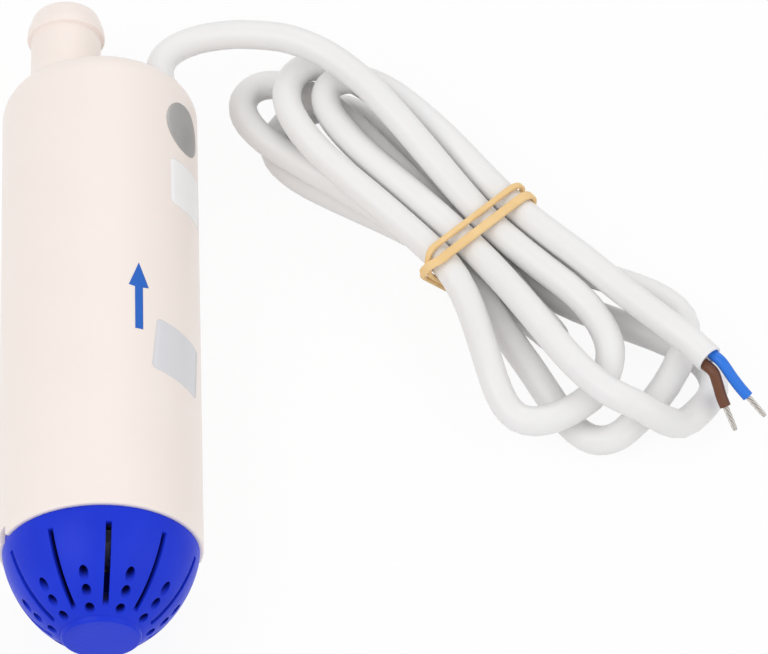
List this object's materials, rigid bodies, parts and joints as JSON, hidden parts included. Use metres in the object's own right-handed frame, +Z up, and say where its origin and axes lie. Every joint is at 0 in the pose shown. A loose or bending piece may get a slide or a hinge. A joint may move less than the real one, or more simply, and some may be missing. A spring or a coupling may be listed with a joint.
{
  "type": "caravan water pump",
  "caption": "Slim round submersible water pump with a domed pull-off strainer, offset hose spigot, spinning impeller and a two-core lead coiled in a banded hank.",
  "frame": {"origin": "Under the middle of the pump, on the surface it lies on; the free cord and what is on it are left out", "axes": "+Y runs along the pump from the strainer to the hose spigot, +Z is up with the pump lying down, +X is the side the cord leaves on"},
  "size_m": [0.1455, 0.14, 0.038],
  "materials": {
    "casing_plastic": "smooth moulded cream plastic",
    "strainer_plastic": "satin moulded blue plastic",
    "inner_plastic": "plain moulded off-white plastic",
    "steel": "bright plated steel",
    "laminations": "stacked steel sheet",
    "copper": "varnished copper",
    "magnet": "grey ferrite",
    "bronze": "sintered bronze",
    "brown_board": "brown laminate board",
    "carbon": "pressed carbon",
    "brass": "rolled brass strip",
    "black_rubber": "moulded rubber",
    "gland_rubber": "moulded pale rubber",
    "cord_sheath": "smooth white sheath",
    "band_rubber": "thin tan rubber",
    "brown_insulation": "smooth brown insulation",
    "blue_insulation": "smooth blue insulation",
    "tinned_copper": "tinned strand"
  },
  "bodies": {
    "pump_body": {"casing": "casing_plastic", "inlet_plate": "inner_plastic", "motor_can": "steel", "field_magnets": "magnet", "front_bearing": "bronze", "rear_bearing": "bronze", "brush_plate": "brown_board", "brushes": "carbon", "brush_springs": "brass", "terminals": "brass", "motor_housing": "inner_plastic", "housing_cap": "inner_plastic", "housing_o_ring": "black_rubber", "shaft_seal": "black_rubber", "cable_gland": "gland_rubber", "inner_brown_wire": "brown_insulation", "inner_blue_wire": "blue_insulation", "cord_tail": "cord_sheath", "cord_lead": "cord_sheath", "cord_hank": "cord_sheath", "rubber_band": "band_rubber", "brown_core": "brown_insulation", "blue_core": "blue_insulation", "brown_core_tip": "tinned_copper", "blue_core_tip": "tinned_copper"},
    "rotor": {"impeller": "inner_plastic", "motor_shaft": "steel", "armature_core": "laminations", "armature_windings": "copper", "commutator": "copper"},
    "strainer_cap": {"strainer": "strainer_plastic"}
  },
  "joints": [
    {"name": "rotor_spin", "type": "hinge", "parent": "pump_body", "child": "rotor", "pos_m": [0, 0, 0.019], "axis": [0, 1, 0], "continuous": true},
    {"name": "strainer_pull", "type": "slide", "parent": "pump_body", "child": "strainer_cap", "axis": [0, -1, 0], "range_m": [0, 0.03]}
  ]
}
